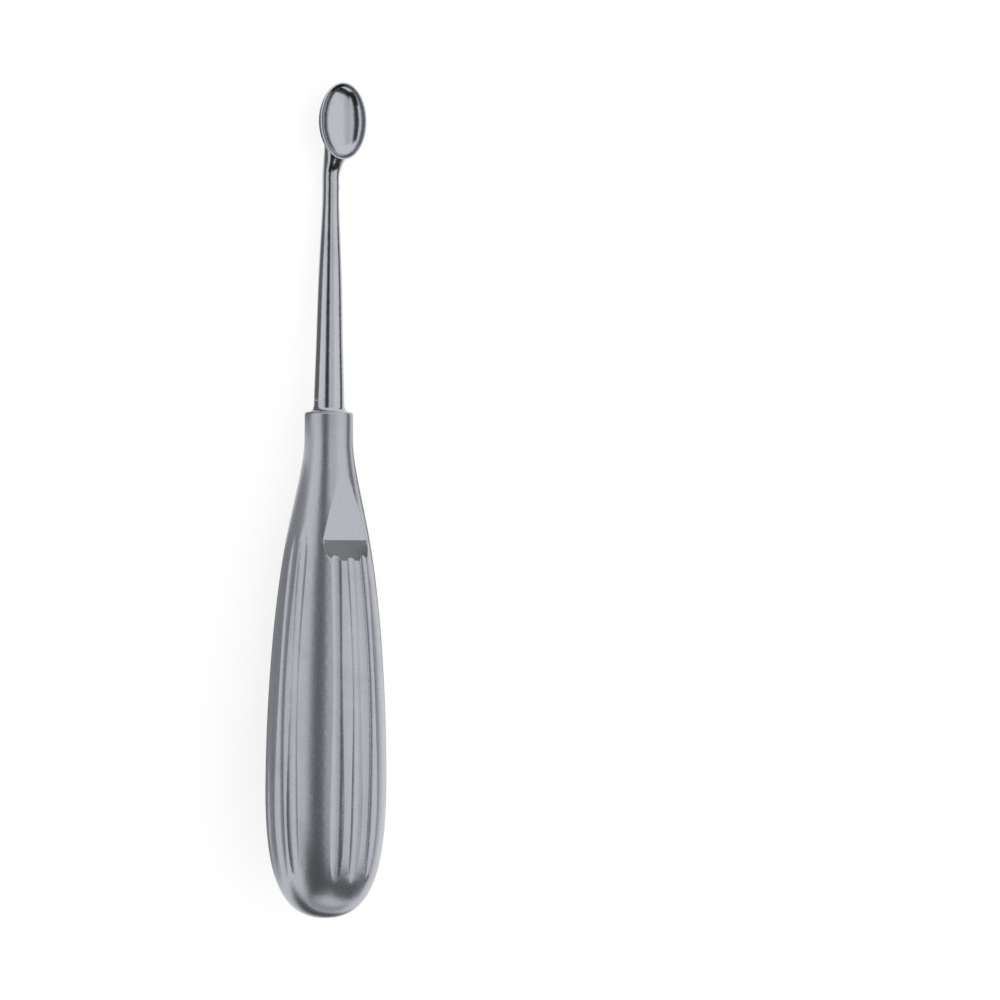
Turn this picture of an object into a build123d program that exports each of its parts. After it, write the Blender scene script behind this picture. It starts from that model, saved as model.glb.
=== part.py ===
from build123d import *
import math
import os

# Bone curette: a hollow fluted handle of steel and a forged blade with a spoon-shaped cup.
# Lengths are in millimetres and angles in degrees.
# It is drawn upright, butt down and thumb rest towards -Y, and laid on its back at the end.

# Handle outline, heights up from the butt; each reach sets how far a curve leaves its end straight
handle_length = 103.0
butt_reach = 8.9
butt_rise = 8.2
belly_height = 27.0
belly_radius = 12.3
belly_reach = 16.0

# Handle outline, drops down from the collar's face
ledge_drop = 26.0
ledge_radius = 8.5
ledge_slope = 0.185
ledge_reach = 14.0
neck_reach = 8.0
throat_drop = 5.5
throat_reach = 5.0
collar_radius = 4.93
collar_edge = 0.6

# Handle wall and the socket in its neck
wall = 1.15
cavity_neck_radius = 4.6
socket_depth = 15.0
tang_radius = 2.4
braze_gap = 0.03

# Thumb rest: a flat scooped into the neck, with a wall that climbs to the flutes
rest_start_drop = 7.0
rest_start_radius = 4.95
rest_middle_drop = 19.5
rest_middle_radius = 6.38
rest_foot_radius = 6.72
rest_wall_run = 4.2
rest_wall_bend = 10.6
rest_wall_half = 6.5

# Flutes, as angles about the axis and depths under the outline
front_flutes = 3
front_pitch = 20.0
front_cutter_radius = 2.3
front_depth = 0.5
front_waist_depth = 0.28
side_flutes = 4
side_pitch = 16.5
side_cutter_radius = 2.6
side_depth = 0.46
side_waist_depth = 0.29
flute_waist_drop = 38.0
flute_butt_exit = 8.0
flute_butt_slope = 0.26
flute_butt_run = 4.4
flute_neck_exit_drop = 24.0
flute_neck_slope = 0.106
flute_neck_run = 8.0

# Blade, heights up from the collar's face
root_radius = 4.1
root_fillet = 1.7
shaft_root_radius = 3.12
shaft_middle_height = 15.0
shaft_middle_radius = 2.74
shaft_upper_height = 27.0
shaft_upper_radius = 2.42
shaft_slim_height = 39.0
shaft_slim_radius = 1.88
shaft_neck_height = 45.0
shaft_neck_radius = 1.72

# Cup: an oval bowl whose rim stands in front of the shaft's axis
cup_length = 15.6
cup_width = 10.9
cup_top = 66.85
cup_forward = 4.77
cup_depth = 3.0
rim_thickness = 0.3
floor_thickness = 0.6

# Bent neck: it moves forward, spreads and thickens on its way up, and thins into the cup's floor
neck_run = 15.5
neck_steps = 10
bend_start = 3.0
bend_run = 6.5
bend_forward = 2.55
spread_run = 8.0
spread = 1.4
swell_run = 4.0
swell = 0.5
thin_start = 7.0
thin_run = 8.5
thinning = 1.0

ledge_height = handle_length - ledge_drop
throat_height = handle_length - throat_drop


def grip_side(inset, end_radius):
    """Side line of the grip from the butt to the ledge, moved in by the inset."""
    radius = belly_radius - inset
    Bezier((0, inset), (butt_reach - inset, inset), (radius, butt_rise), (radius, belly_height))
    Bezier(
        (radius, belly_height),
        (radius, belly_height + belly_reach),
        (end_radius + ledge_slope * ledge_reach, ledge_height - ledge_reach),
        (end_radius, ledge_height),
    )


# Side line of the handle, from the butt up to the collar
with BuildLine() as handle_side:
    grip_side(0, ledge_radius)
    Bezier(
        (ledge_radius, ledge_height),
        (ledge_radius - ledge_slope * neck_reach, ledge_height + neck_reach),
        (collar_radius, throat_height - throat_reach),
        (collar_radius, throat_height),
    )

# Side line of the cavity, which narrows to the tang's socket
socket_radius = tang_radius + braze_gap
socket_floor = handle_length - socket_depth
with BuildLine() as cavity_side:
    grip_side(wall, cavity_neck_radius)
    Line((cavity_neck_radius, ledge_height), (socket_radius, socket_floor))


def side_radius(height):
    """Radius of the handle's outline at a height, found by halving."""
    edge = next(e for e in handle_side.edges() if (e @ 0).Y <= height <= (e @ 1).Y)
    low, high = 0.0, 1.0
    for _ in range(40):
        middle = (low + high) / 2
        if (edge @ middle).Y < height:
            low = middle
        else:
            high = middle
    return (edge @ low).X


def flute_cutter(cutter_radius, depth, waist_depth):
    """A round bar bent along the floor of one flute, on the -Y side."""
    waist = handle_length - flute_waist_drop
    neck_exit = handle_length - flute_neck_exit_drop
    butt_radius = side_radius(flute_butt_exit)
    neck_radius = side_radius(neck_exit)
    floor = [
        (butt_radius - flute_butt_slope * flute_butt_run, flute_butt_exit - flute_butt_run),
        (butt_radius, flute_butt_exit),
        (belly_radius - depth, belly_height),
        (side_radius(waist) - waist_depth, waist),
        (neck_radius, neck_exit),
        (neck_radius - flute_neck_slope * flute_neck_run, neck_exit + flute_neck_run),
    ]
    with BuildPart() as cutter:
        with BuildLine(Plane.YZ):
            run = Spline(*[(-(radius + cutter_radius), height) for radius, height in floor])
        with BuildSketch(Plane(run @ 0, x_dir=(1, 0, 0), z_dir=run % 0)):
            Circle(cutter_radius)
        sweep(path=run)
    return cutter.part


front_cutter = flute_cutter(front_cutter_radius, front_depth, front_waist_depth)
side_cutter = flute_cutter(side_cutter_radius, side_depth, side_waist_depth)

# Handle: a closed shell of revolution with a fluted grip and a thumb rest
with BuildPart() as handle:
    with BuildSketch(Plane.XZ):
        with BuildLine():
            add(handle_side.line)
            Line((collar_radius, throat_height), (collar_radius, handle_length))
            Line((collar_radius, handle_length), (0, handle_length))
            Line((0, handle_length), (0, 0))
        make_face()
    revolve(axis=Axis.Z)
    collar_rim = handle.edges().filter_by(GeomType.CIRCLE).sort_by(Axis.Z)[-1]
    fillet(collar_rim, collar_edge)

    for facing, count, pitch, cutter in (
        (0, front_flutes, front_pitch, front_cutter),
        (90, side_flutes, side_pitch, side_cutter),
        (180, front_flutes, front_pitch, front_cutter),
        (270, side_flutes, side_pitch, side_cutter),
    ):
        for index in range(count):
            turn = facing + (index - (count - 1) / 2) * pitch
            with Locations(Rotation(0, 0, turn)):
                add(cutter, mode=Mode.SUBTRACT)

    # Thumb rest, cut straight across the front
    with BuildSketch(Plane.YZ):
        with BuildLine():
            floor_line = ThreePointArc(
                (-rest_start_radius, handle_length - rest_start_drop),
                (-rest_middle_radius, handle_length - rest_middle_drop),
                (-rest_foot_radius, ledge_height),
            )
            Polyline(
                floor_line @ 1,
                (-2 * belly_radius, ledge_height),
                (-2 * belly_radius, handle_length - rest_start_drop),
                floor_line @ 0,
            )
        make_face()
    extrude(amount=belly_radius, both=True, mode=Mode.SUBTRACT)

    # Wall of the thumb rest, from the straight foot of the flat up to an arched top edge
    wall_top = ledge_height - rest_wall_run
    crown = side_radius(wall_top)
    shoulder = crown - rest_wall_bend + math.sqrt(rest_wall_bend**2 - rest_wall_half**2)
    with BuildSketch(Plane.XY.offset(ledge_height)):
        with BuildLine():
            Polyline(
                (-rest_wall_half, -rest_foot_radius),
                (rest_wall_half, -rest_foot_radius),
                (rest_wall_half, -2 * belly_radius),
                (-rest_wall_half, -2 * belly_radius),
                close=True,
            )
        make_face()
    with BuildSketch(Plane.XY.offset(wall_top)):
        with BuildLine():
            ThreePointArc((-rest_wall_half, -shoulder), (0, -crown), (rest_wall_half, -shoulder))
            Polyline(
                (rest_wall_half, -shoulder),
                (rest_wall_half, -2 * belly_radius),
                (-rest_wall_half, -2 * belly_radius),
                (-rest_wall_half, -shoulder),
            )
        make_face()
    loft(ruled=True, mode=Mode.SUBTRACT)

    # Cavity and socket
    with BuildSketch(Plane.XZ):
        with BuildLine():
            add(cavity_side.line)
            Line((socket_radius, socket_floor), (socket_radius, handle_length))
            Line((socket_radius, handle_length), (0, handle_length))
            Line((0, handle_length), (0, wall))
        make_face()
    revolve(axis=Axis.Z, mode=Mode.SUBTRACT)


# Side line of the shaft, from its root on the collar up to its slim neck
neck_base = handle_length + shaft_neck_height
with BuildLine() as shaft_side:
    Spline(
        (shaft_root_radius, handle_length + root_fillet),
        (shaft_middle_radius, handle_length + shaft_middle_height),
        (shaft_upper_radius, handle_length + shaft_upper_height),
        (shaft_slim_radius, handle_length + shaft_slim_height),
        (shaft_neck_radius, neck_base),
        tangents=[(-0.02, 1), (0, 1)],
    )

# Outer and inner forms of the cup, each half of a long flattened ball
cup_middle = handle_length + cup_top - cup_length / 2
cup_outer = (cup_width / 2, cup_depth + floor_thickness, cup_length / 2)
cup_inner = (cup_width / 2 - rim_thickness, cup_depth, cup_length / 2 - rim_thickness)
with BuildPart() as cup_form:
    Sphere(1)
    scale(by=cup_outer)
    split(bisect_by=Plane.XZ, keep=Keep.BOTTOM)
with BuildPart() as hollow_form:
    Sphere(1)
    scale(by=cup_inner)


def ease(rise, start, run):
    """Smooth step from 0 to 1 that begins at the start and takes the run."""
    part = min(max((rise - start) / run, 0), 1)
    return part * part * (3 - 2 * part)


def neck_section(rise):
    """Way forward, half width and half depth of the bent neck at a rise above its base."""
    forward = bend_forward * ease(rise, bend_start, bend_run)
    across = shaft_neck_radius + spread * ease(rise, bend_start, spread_run)
    swelling = swell * ease(rise, bend_start, swell_run)
    deep = shaft_neck_radius + swelling - thinning * ease(rise, thin_start, thin_run)
    return forward, across, deep


neck_rises = [neck_run * step / neck_steps for step in range(neck_steps + 1)]

# Blade: the tang, the tapered shaft and the cup, forged as one piece
with BuildPart() as blade:
    with BuildSketch(Plane.XZ):
        with BuildLine():
            add(shaft_side.line)
            Line((shaft_neck_radius, neck_base), (0, neck_base))
            Line((0, neck_base), (0, socket_floor))
            Line((0, socket_floor), (tang_radius, socket_floor))
            Line((tang_radius, socket_floor), (tang_radius, handle_length))
            Line((tang_radius, handle_length), (root_radius, handle_length))
            Spline(
                (root_radius, handle_length),
                (shaft_root_radius, handle_length + root_fillet),
                tangents=[(-1, 0.35), (0, 1)],
            )
        make_face()
    revolve(axis=Axis.Z)

    # The neck bends forward and widens under the cup
    for rise in neck_rises:
        forward, across, deep = neck_section(rise)
        with BuildSketch(Plane.XY.offset(neck_base + rise)):
            with Locations((0, -forward)):
                Ellipse(across, deep)
    loft()
    with Locations((0, -cup_forward, cup_middle)):
        add(cup_form.part)
        add(hollow_form.part, mode=Mode.SUBTRACT)


def drop(side, tilt):
    """How far the lowest point of a side line lies under the butt's level at a tilt."""
    points = [edge @ (step / 60) for edge in side.edges() for step in range(61)]
    return max(point.X * math.cos(tilt) + point.Y * math.sin(tilt) for point in points)


# Tilt at which the handle's belly and the back of the bent neck touch the floor together
with BuildLine() as neck_back:
    neck_shape = [(neck_section(rise), neck_base + rise) for rise in neck_rises]
    Polyline(*[(deep - forward, height) for (forward, across, deep), height in neck_shape])
low, high = 0.0, math.radians(20)
for _ in range(30):
    tilt = (low + high) / 2
    if drop(handle_side, tilt) > drop(neck_back, tilt):
        low = tilt
    else:
        high = tilt

# Lie it down: cup towards +Y, thumb rest and cup's mouth up, centred over the origin
lying = Location((0, 0, 0), (-90 - math.degrees(tilt), 0, 0))
handle.part.move(lying)
blade.part.move(lying)
reach = Compound(children=[Compound(handle.part.wrapped), Compound(blade.part.wrapped)])
box = reach.bounding_box()
centring = Location((0, -box.center().Y, -box.min.Z))
handle.part.move(centring)
blade.part.move(centring)

handle.part.label = "handle"
blade.part.label = "blade"
os.makedirs("parts", exist_ok=True)
export_step(handle.part, "parts/handle.step")
export_step(blade.part, "parts/blade.step")
print("tilt", round(math.degrees(tilt), 3), "shift", centring.position)
for piece in (handle.part, blade.part):
    print(piece.label, round(piece.volume, 1), piece.center(CenterOf.MASS))
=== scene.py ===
import bpy
import bmesh
import math
from mathutils import Matrix, Vector


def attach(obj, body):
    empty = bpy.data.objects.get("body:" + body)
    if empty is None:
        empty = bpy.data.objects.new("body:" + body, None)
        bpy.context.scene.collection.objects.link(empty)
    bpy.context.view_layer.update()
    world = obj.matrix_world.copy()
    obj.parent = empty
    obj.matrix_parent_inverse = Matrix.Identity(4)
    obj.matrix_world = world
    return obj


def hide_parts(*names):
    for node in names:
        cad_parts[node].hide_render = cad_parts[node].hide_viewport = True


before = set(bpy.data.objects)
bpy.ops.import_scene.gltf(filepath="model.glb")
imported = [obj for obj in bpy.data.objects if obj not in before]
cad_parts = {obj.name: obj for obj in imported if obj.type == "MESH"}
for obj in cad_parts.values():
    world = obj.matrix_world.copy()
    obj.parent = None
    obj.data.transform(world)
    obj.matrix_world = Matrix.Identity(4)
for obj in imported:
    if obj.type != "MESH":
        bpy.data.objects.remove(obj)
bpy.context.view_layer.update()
print("frame loaded:", sorted(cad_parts))

# How the curette lies, in metres: its axis dips by the tilt towards the cup
lie = {"tilt": math.radians(5.675), "buttY": -0.0847114, "buttZ": 0.0166625}
along = Vector((0, math.cos(lie["tilt"]), -math.sin(lie["tilt"])))
front = Vector((0, math.sin(lie["tilt"]), math.cos(lie["tilt"])))
across = Vector((1, 0, 0))
butt = Vector((0, lie["buttY"], lie["buttZ"]))
white = (1, 1, 1, 1)


def addNode(tree, kind, at, inputs=None, **values):
    node = tree.nodes.new(kind)
    node.location = at
    for name, value in values.items():
        setattr(node, name, value)
    for socket, value in (inputs or {}).items():
        node.inputs[socket].default_value = value
    return node


def link(tree, output, target):
    tree.links.new(output, target)


# A material or a world that starts from an empty node tree
def emptyTree(owner):
    owner.use_nodes = True
    owner.node_tree.nodes.clear()
    return owner.node_tree


# 1 for the rays that see a surface or its reflection, and 0 for those that carry light
def seenMask(tree, at):
    path = addNode(tree, "ShaderNodeLightPath", at)
    seen = addNode(tree, "ShaderNodeMath", (at[0] + 200, at[1]), operation="MAXIMUM")
    seenToo = addNode(tree, "ShaderNodeMath", (at[0] + 350, at[1]), operation="MAXIMUM")
    link(tree, path.outputs["Is Camera Ray"], seen.inputs[0])
    link(tree, path.outputs["Is Glossy Ray"], seen.inputs[1])
    link(tree, seen.outputs[0], seenToo.inputs[0])
    link(tree, path.outputs["Is Transmission Ray"], seenToo.inputs[1])
    return seenToo.outputs[0]


# A flat grid of one face, as an object of the scene
def addSheet(name, size):
    shape = bmesh.new()
    bmesh.ops.create_grid(shape, x_segments=1, y_segments=1, size=size)
    mesh = bpy.data.meshes.new(name)
    shape.to_mesh(mesh)
    shape.free()
    sheet = bpy.data.objects.new(name, mesh)
    bpy.context.scene.collection.objects.link(sheet)
    return sheet


# Camera: a long lens, looking at the front from a little to its left
cameraSet = {"turn": math.radians(33), "roll": math.radians(0.48), "distance": 1.2, "frameWidth": 0.2036,
             "sensor": 36.0, "aimAlong": 0.0851, "aimRight": 0.03498, "clip": (0.01, 20)}


def makeCamera():
    turn, roll = cameraSet["turn"], cameraSet["roll"]
    right = across * math.cos(turn) + front * math.sin(turn)
    towards = front * math.cos(turn) - across * math.sin(turn)
    up = along * math.cos(roll) - right * math.sin(roll)
    side = right * math.cos(roll) + along * math.sin(roll)
    aim = butt + along * cameraSet["aimAlong"] + side * cameraSet["aimRight"]
    camera = bpy.data.cameras.new("camera")
    camera.sensor_width = cameraSet["sensor"]
    camera.lens = cameraSet["sensor"] * cameraSet["distance"] / cameraSet["frameWidth"]
    camera.clip_start, camera.clip_end = cameraSet["clip"]
    holder = bpy.data.objects.new("camera", camera)
    bpy.context.scene.collection.objects.link(holder)
    turned = Matrix((side, up, towards)).transposed().to_4x4()
    turned.translation = aim + towards * cameraSet["distance"]
    holder.matrix_world = turned
    bpy.context.scene.camera = holder
    return towards, side


towards, side = makeCamera()
print("camera placed")

# Patterns of the worked steel, as scales per metre of the model
steelPattern = {"lineScale": 2200, "lineStretch": 0.03, "cloudScale": 95, "speckScale": 900, "edgeSamples": 6,
                "wornSmoother": -0.06, "milledDuller": 0.15}


# Worked steel: grain, drawn-out polishing lines, cloudy handling marks and edges worn bright and soft
def makeWorkedSteel():
    group = bpy.data.node_groups.new("workedSteel", "ShaderNodeTree")
    # The fourth colour is painted shade, laid on the thumb rest's wall
    colours = ("Body Colour", "Marked Colour", "Worn Colour", "Wall Shade Colour")
    amounts = ("Roughness", "Roughness Spread", "Grain Size", "Grain Depth", "Line Depth", "Edge Radius")
    for name in colours:
        group.interface.new_socket(name=name, in_out="INPUT", socket_type="NodeSocketColor")
    for name in amounts:
        group.interface.new_socket(name=name, in_out="INPUT", socket_type="NodeSocketFloat")
    for name, kind in (("Colour", "Color"), ("Roughness", "Float"), ("Normal", "Vector")):
        group.interface.new_socket(name=name, in_out="OUTPUT", socket_type="NodeSocket" + kind)
    given = addNode(group, "NodeGroupInput", (-1500, 0))
    result = addNode(group, "NodeGroupOutput", (900, 0))

    spot = addNode(group, "ShaderNodeTexCoord", (-1500, 400))
    drawn = addNode(group, "ShaderNodeMapping", (-1250, 600),
                    {"Rotation": (lie["tilt"], 0, 0), "Scale": (1, steelPattern["lineStretch"], 1)})
    grain = addNode(group, "ShaderNodeTexNoise", (-950, 300), {"Detail": 3})
    lines = addNode(group, "ShaderNodeTexNoise", (-950, 650), {"Scale": steelPattern["lineScale"], "Detail": 4})
    clouds = addNode(group, "ShaderNodeTexNoise", (-950, -50),
                     {"Scale": steelPattern["cloudScale"], "Detail": 5, "Roughness": 0.62})
    specks = addNode(group, "ShaderNodeTexNoise", (-950, -350), {"Scale": steelPattern["speckScale"], "Detail": 2})
    link(group, spot.outputs["Object"], drawn.inputs["Vector"])
    link(group, drawn.outputs[0], lines.inputs["Vector"])
    for noise in (grain, clouds, specks):
        link(group, spot.outputs["Object"], noise.inputs["Vector"])
    link(group, given.outputs["Grain Size"], grain.inputs["Scale"])

    # Edges: where the rounded normal leaves the true one, broken up by specks
    rounded = addNode(group, "ShaderNodeBevel", (-950, -650), samples=steelPattern["edgeSamples"])
    geometry = addNode(group, "ShaderNodeNewGeometry", (-950, -850))
    agree = addNode(group, "ShaderNodeVectorMath", (-750, -700), operation="DOT_PRODUCT")
    worn = addNode(group, "ShaderNodeMapRange", (-550, -700), {"From Min": 0.995, "From Max": 0.9},
                   interpolation_type="SMOOTHSTEP")
    broken = addNode(group, "ShaderNodeMapRange", (-550, -400),
                     {"From Min": 0.35, "From Max": 0.6, "To Min": 0.35})
    wear = addNode(group, "ShaderNodeMath", (-350, -600), operation="MULTIPLY")
    link(group, given.outputs["Edge Radius"], rounded.inputs["Radius"])
    link(group, rounded.outputs[0], agree.inputs[0])
    link(group, geometry.outputs["Normal"], agree.inputs[1])
    link(group, agree.outputs["Value"], worn.inputs["Value"])
    link(group, specks.outputs[0], broken.inputs["Value"])
    link(group, worn.outputs[0], wear.inputs[0])
    link(group, broken.outputs[0], wear.inputs[1])

    # Colour: clouds and lines over the body, then the worn edges, then the unpolished wall of the thumb rest
    # darkened with painted shade, standing in for the dark it reflects
    marked = addNode(group, "ShaderNodeMapRange", (-650, 50), {"From Min": 0.42, "From Max": 0.68},
                     interpolation_type="SMOOTHSTEP")
    lined = addNode(group, "ShaderNodeMapRange", (-650, 550), {"From Min": 0.3, "From Max": 0.7, "To Max": 0.45})
    marks = addNode(group, "ShaderNodeMath", (-450, 250), operation="MAXIMUM")
    body = addNode(group, "ShaderNodeMix", (-200, 250), data_type="RGBA")
    finished = addNode(group, "ShaderNodeMix", (50, 150), data_type="RGBA")
    # Mask of the thumb rest's wall: painted shade in the colour, and a duller roughness
    milledShadedWall = addNode(group, "ShaderNodeAttribute", (50, 450), attribute_name="milledShadedWall")
    shadedWallColour = addNode(group, "ShaderNodeMix", (350, 250), data_type="RGBA")
    link(group, clouds.outputs[0], marked.inputs["Value"])
    link(group, lines.outputs[0], lined.inputs["Value"])
    link(group, marked.outputs[0], marks.inputs[0])
    link(group, lined.outputs[0], marks.inputs[1])
    link(group, marks.outputs[0], body.inputs["Factor"])
    link(group, given.outputs["Body Colour"], body.inputs["A"])
    link(group, given.outputs["Marked Colour"], body.inputs["B"])
    link(group, wear.outputs[0], finished.inputs["Factor"])
    link(group, body.outputs["Result"], finished.inputs["A"])
    link(group, given.outputs["Worn Colour"], finished.inputs["B"])
    link(group, milledShadedWall.outputs["Fac"], shadedWallColour.inputs["Factor"])
    link(group, finished.outputs["Result"], shadedWallColour.inputs["A"])
    link(group, given.outputs["Wall Shade Colour"], shadedWallColour.inputs["B"])
    link(group, shadedWallColour.outputs["Result"], result.inputs["Colour"])

    # Roughness: a spread about the given value, lower on the worn edges and higher on the unpolished wall
    spread = addNode(group, "ShaderNodeMath", (-400, -150), operation="ADD")
    centred = addNode(group, "ShaderNodeMath", (-250, -150), {1: 1.0}, operation="SUBTRACT")
    rough = addNode(group, "ShaderNodeMath", (-50, -150), operation="MULTIPLY_ADD")
    smoother = addNode(group, "ShaderNodeMath", (150, -250), {1: steelPattern["wornSmoother"]},
                       operation="MULTIPLY_ADD")
    duller = addNode(group, "ShaderNodeMath", (350, -250), {1: steelPattern["milledDuller"]},
                     operation="MULTIPLY_ADD")
    link(group, grain.outputs[0], spread.inputs[0])
    link(group, clouds.outputs[0], spread.inputs[1])
    link(group, spread.outputs[0], centred.inputs[0])
    link(group, centred.outputs[0], rough.inputs[0])
    link(group, given.outputs["Roughness Spread"], rough.inputs[1])
    link(group, given.outputs["Roughness"], rough.inputs[2])
    link(group, wear.outputs[0], smoother.inputs[0])
    link(group, rough.outputs[0], smoother.inputs[2])
    link(group, milledShadedWall.outputs["Fac"], duller.inputs[0])
    link(group, smoother.outputs[0], duller.inputs[2])
    link(group, duller.outputs[0], result.inputs["Roughness"])

    # Relief: lines and grain in the surface, over the softened edges
    drawnRelief = addNode(group, "ShaderNodeBump", (350, -500), {"Strength": 1})
    grainRelief = addNode(group, "ShaderNodeBump", (600, -400), {"Strength": 1})
    link(group, given.outputs["Line Depth"], drawnRelief.inputs["Distance"])
    link(group, lines.outputs[0], drawnRelief.inputs["Height"])
    link(group, rounded.outputs[0], drawnRelief.inputs["Normal"])
    link(group, given.outputs["Grain Depth"], grainRelief.inputs["Distance"])
    link(group, grain.outputs[0], grainRelief.inputs["Height"])
    link(group, drawnRelief.outputs[0], grainRelief.inputs["Normal"])
    link(group, grainRelief.outputs[0], result.inputs["Normal"])
    return group


workedSteel = makeWorkedSteel()

# The wall colour here is painted shade for the thumb rest's wall, far darker than the steel itself
satinFinish = {"Body Colour": (0.50, 0.515, 0.565, 1), "Marked Colour": (0.45, 0.465, 0.51, 1),
               "Worn Colour": (0.56, 0.57, 0.61, 1), "Wall Shade Colour": (0.20, 0.21, 0.225, 1),
               "Roughness": 0.28, "Roughness Spread": 0.1, "Grain Size": 4200.0, "Grain Depth": 0.000006,
               "Line Depth": 0.000003, "Edge Radius": 0.0003}
polishedFinish = {"Body Colour": (0.50, 0.515, 0.56, 1), "Marked Colour": (0.45, 0.465, 0.50, 1),
                  "Worn Colour": (0.53, 0.54, 0.58, 1), "Roughness": 0.15, "Roughness Spread": 0.08,
                  "Grain Size": 5200.0, "Grain Depth": 0.000002, "Line Depth": 0.000002, "Edge Radius": 0.00015}


def steelMaterial(name, finish, metallic):
    material = bpy.data.materials.new(name)
    tree = emptyTree(material)
    output = addNode(tree, "ShaderNodeOutputMaterial", (600, 0))
    steel = addNode(tree, "ShaderNodeBsdfPrincipled", (300, 0), {"Metallic": metallic})
    worked = addNode(tree, "ShaderNodeGroup", (0, 0), finish, node_tree=workedSteel)
    link(tree, worked.outputs["Colour"], steel.inputs["Base Color"])
    link(tree, worked.outputs["Roughness"], steel.inputs["Roughness"])
    link(tree, worked.outputs["Normal"], steel.inputs["Normal"])
    link(tree, steel.outputs[0], output.inputs["Surface"])
    return material


handleSteel = steelMaterial("handleSteel", satinFinish, 0.85)  # under 1: a matt ground scatters a little light
bladeSteel = steelMaterial("bladeSteel", polishedFinish, 1.0)
print("steel mixed")


# Handle and blade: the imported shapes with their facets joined, and smoothed up to the sharp angle
def smoothPiece(piece, material, milledShadedWall=None):
    shape = bmesh.new()
    shape.from_mesh(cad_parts[piece["node"]].data)
    bmesh.ops.remove_doubles(shape, verts=shape.verts, dist=piece["merge"])
    for face in shape.faces:
        face.smooth = True
    for edge in shape.edges:
        if len(edge.link_faces) == 2:
            edge.smooth = edge.calc_face_angle(0) < piece["sharp"]
    # Mark the thumb rest's wall for painted shade and a duller finish
    if milledShadedWall:
        mark = shape.faces.layers.float.new("milledShadedWall")
        for face in shape.faces:
            face[mark] = milledShadedWall(face)
    mesh = bpy.data.meshes.new(piece["name"])
    shape.to_mesh(mesh)
    shape.free()
    mesh.materials.append(material)
    smoothed = bpy.data.objects.new(piece["name"], mesh)
    bpy.context.scene.collection.objects.link(smoothed)
    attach(smoothed, "root")
    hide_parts(piece["node"])


# The thumb rest's wall: between the flat's foot and the flutes, facing the cup; its colour gets painted shade
restWall = {"low": 0.0710, "high": 0.0780, "inside": 0.0058, "outside": 0.0100, "half": 0.0080, "facing": 0.25}


def inRestWall(face):
    centre = face.calc_center_median() - butt
    between = restWall["low"] < centre.dot(along) < restWall["high"]
    raised = restWall["inside"] < centre.dot(front) < restWall["outside"]
    narrow = abs(centre.x) < restWall["half"]
    return float(between and raised and narrow and face.normal.dot(along) > restWall["facing"])


handlePiece = {"node": "handle", "name": "flutedHandle", "slot": "handle_steel", "merge": 1e-6,
               "sharp": math.radians(20)}
bladePiece = {"node": "blade", "name": "spoonBlade", "slot": "blade_steel", "merge": 1e-6,
              "sharp": math.radians(30)}
smoothPiece(handlePiece, handleSteel, inRestWall)
smoothPiece(bladePiece, bladeSteel)
print("pieces made")

# Floor: pale paper that keeps the shadow, with a glow of its own where it is seen
floorSet = {"halfSize": 4, "drop": 0.0002, "paper": (0.5, 0.5, 0.5, 1), "glow": 0.74}


def makeFloor():
    floor = addSheet("floor", floorSet["halfSize"])
    floor.location = (0, 0, -floorSet["drop"])
    material = bpy.data.materials.new("floorPaper")
    tree = emptyTree(material)
    output = addNode(tree, "ShaderNodeOutputMaterial", (600, 0))
    paper = addNode(tree, "ShaderNodeBsdfDiffuse", (0, 100), {"Color": floorSet["paper"]})
    glow = addNode(tree, "ShaderNodeEmission", (0, -100), {"Color": white})
    level = addNode(tree, "ShaderNodeMath", (-150, -100), {1: floorSet["glow"]}, operation="MULTIPLY")
    both = addNode(tree, "ShaderNodeAddShader", (300, 0))
    link(tree, seenMask(tree, (-600, -100)), level.inputs[0])
    link(tree, level.outputs[0], glow.inputs["Strength"])
    link(tree, paper.outputs[0], both.inputs[0])
    link(tree, glow.outputs[0], both.inputs[1])
    link(tree, both.outputs[0], output.inputs["Surface"])
    floor.data.materials.append(material)


makeFloor()

# Black cards that only the metal's reflections see; soft is the faded share of each half side
cardSet = {"dark": 0.03, "distance": 0.6, "centre": 0.085, "lift": 0.0001}


def makeCard(name, centre, halfX, halfY, soft, shade):
    card = addSheet(name, 1)
    place = Matrix((halfX, halfY, halfX.cross(halfY).normalized())).transposed().to_4x4()
    place.translation = centre
    card.matrix_world = place
    card.visible_camera = card.visible_shadow = card.visible_diffuse = False
    material = bpy.data.materials.new(name)
    tree = emptyTree(material)
    output = addNode(tree, "ShaderNodeOutputMaterial", (600, 0))
    black = addNode(tree, "ShaderNodeEmission", (100, 100), {"Color": white, "Strength": cardSet["dark"]})
    clear = addNode(tree, "ShaderNodeBsdfTransparent", (100, -100))
    mixed = addNode(tree, "ShaderNodeMixShader", (350, 0))
    spot = addNode(tree, "ShaderNodeTexCoord", (-900, 0))
    parts = addNode(tree, "ShaderNodeSeparateXYZ", (-700, 0))
    cover = addNode(tree, "ShaderNodeMath", (-50, 0), operation="MULTIPLY")
    link(tree, spot.outputs["Object"], parts.inputs[0])
    for index, axis in enumerate("XY"):
        size = addNode(tree, "ShaderNodeMath", (-500, -200 * index), operation="ABSOLUTE")
        edge = addNode(tree, "ShaderNodeMapRange", (-300, -200 * index),
                       {"From Min": 1, "From Max": 1 - soft[index], "To Max": math.sqrt(shade)},
                       interpolation_type="SMOOTHSTEP")
        link(tree, parts.outputs[axis], size.inputs[0])
        link(tree, size.outputs[0], edge.inputs["Value"])
        link(tree, edge.outputs[0], cover.inputs[index])
    link(tree, cover.outputs[0], mixed.inputs[0])
    link(tree, clear.outputs[0], mixed.inputs[1])
    link(tree, black.outputs[0], mixed.inputs[2])
    link(tree, mixed.outputs[0], output.inputs["Surface"])
    card.data.materials.append(material)


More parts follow.
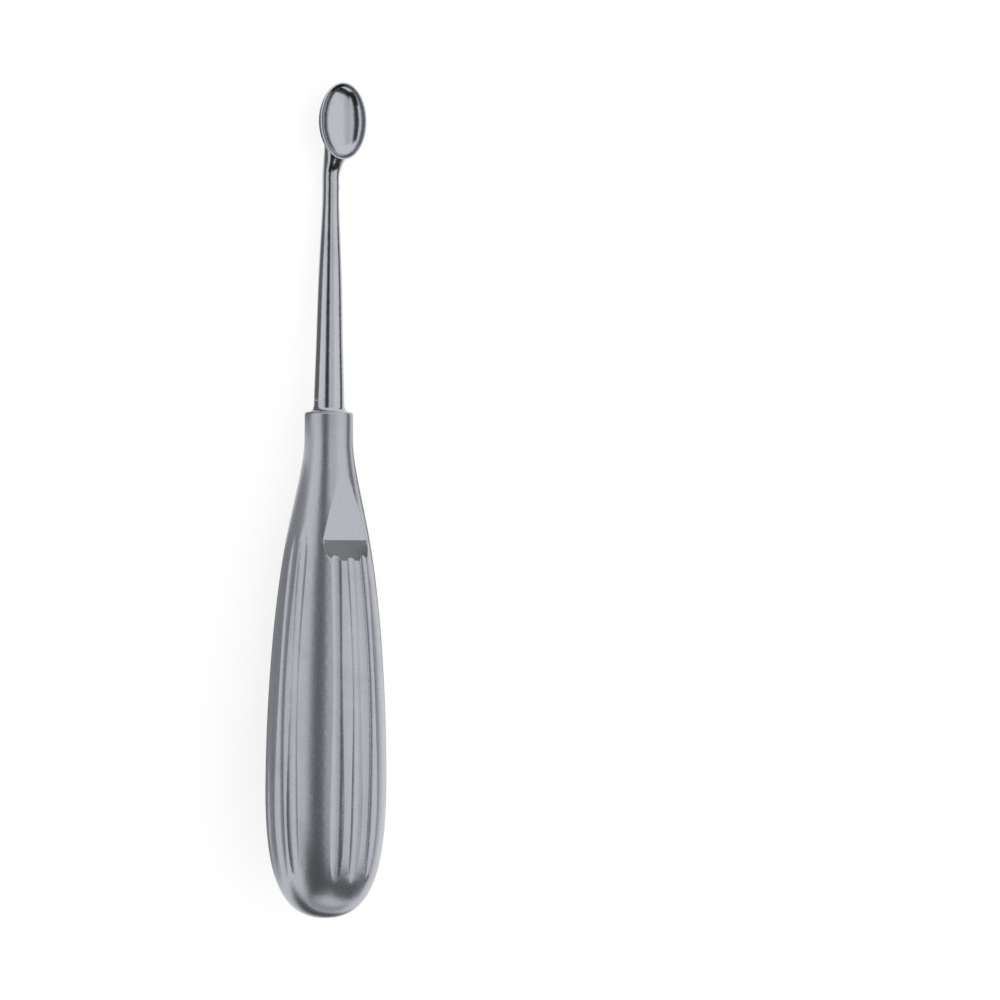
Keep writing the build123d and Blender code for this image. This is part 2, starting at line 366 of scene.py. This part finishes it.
# A card out in the room: its angle is 0 at the camera and + to its right, its lean is towards the butt
def roomCard(name, angle, halfAngle, lean, halfLean, soft, shade):
    angle, halfAngle, lean, halfLean = (math.radians(turn) for turn in (angle, halfAngle, lean, halfLean))
    distance = cardSet["distance"]
    level = towards * math.cos(angle) + side * math.sin(angle)
    out = level * math.cos(lean) - along * math.sin(lean)
    halfX = (side * math.cos(angle) - towards * math.sin(angle)) * distance * math.tan(halfAngle)
    halfY = (along * math.cos(lean) + level * math.sin(lean)) * distance * math.tan(halfLean)
    makeCard(name, butt + along * cardSet["centre"] + out * distance, halfX, halfY, soft, shade)


# A dark card on the floor beside the curette: painted shadow, standing in for the curette's shade on the floor
# where the metal reflects it
def floorShadowCard(name, x, y, halfX, halfY, soft, shade):
    makeCard(name, Vector((x, y, -cardSet["lift"])), Vector((halfX, 0, 0)), Vector((0, halfY, 0)), soft, shade)


roomCard("cardCamera", -14, 25, 0, 50, (0.75, 0.3), 0.97)
roomCard("cardVeil", 25, 22, 0, 50, (0.8, 0.3), 0.25)
roomCard("cardRight", 110, 22, 0, 50, (0.7, 0.3), 0.9)
roomCard("cardButt", -20, 24, 43, 26, (0.2, 0.25), 1.0)
roomCard("cardButtRight", 56, 38, 51, 17, (0.3, 0.3), 1.0)
makeCard("cardButtLow", Vector((0, -0.2, 0.02)), Vector((0.12, 0, 0)), Vector((0, 0, 0.03)), (0.4, 0.4), 0.6)
# These floor cards are painted shadow: dark sheets that the metal reflects in place of the floor's shade beside the
# curette
floorShadowCard("shadowCardFloorHandle", -0.020, -0.035, 0.016, 0.055, (0.4, 0.3), 0.65)
floorShadowCard("shadowCardFloorShaft", -0.0095, 0.048, 0.0075, 0.040, (0.3, 0.3), 0.82)
floorShadowCard("shadowCardFloorRight", 0.019, -0.035, 0.014, 0.055, (0.3, 0.3), 0.9)
floorShadowCard("shadowCardFloorButt", -0.005, -0.128, 0.045, 0.035, (0.4, 0.4), 1.0)
print("cards hung")

# World: white where it is seen, a little under that as light
studioSet = {"light": 0.6, "seen": 1}


def makeWorld():
    world = bpy.data.worlds.new("studio")
    bpy.context.scene.world = world
    tree = emptyTree(world)
    output = addNode(tree, "ShaderNodeOutputWorld", (600, 0))
    sky = addNode(tree, "ShaderNodeBackground", (300, 0), {"Color": white})
    level = addNode(tree, "ShaderNodeMapRange", (0, 0), {"To Min": studioSet["light"], "To Max": studioSet["seen"]})
    link(tree, seenMask(tree, (-600, 0)), level.inputs["Value"])
    link(tree, level.outputs[0], sky.inputs["Strength"])
    link(tree, sky.outputs[0], output.inputs["Surface"])


makeWorld()
bpy.context.scene.view_settings.view_transform = "Standard"
print("studio lit")

print("scene made")
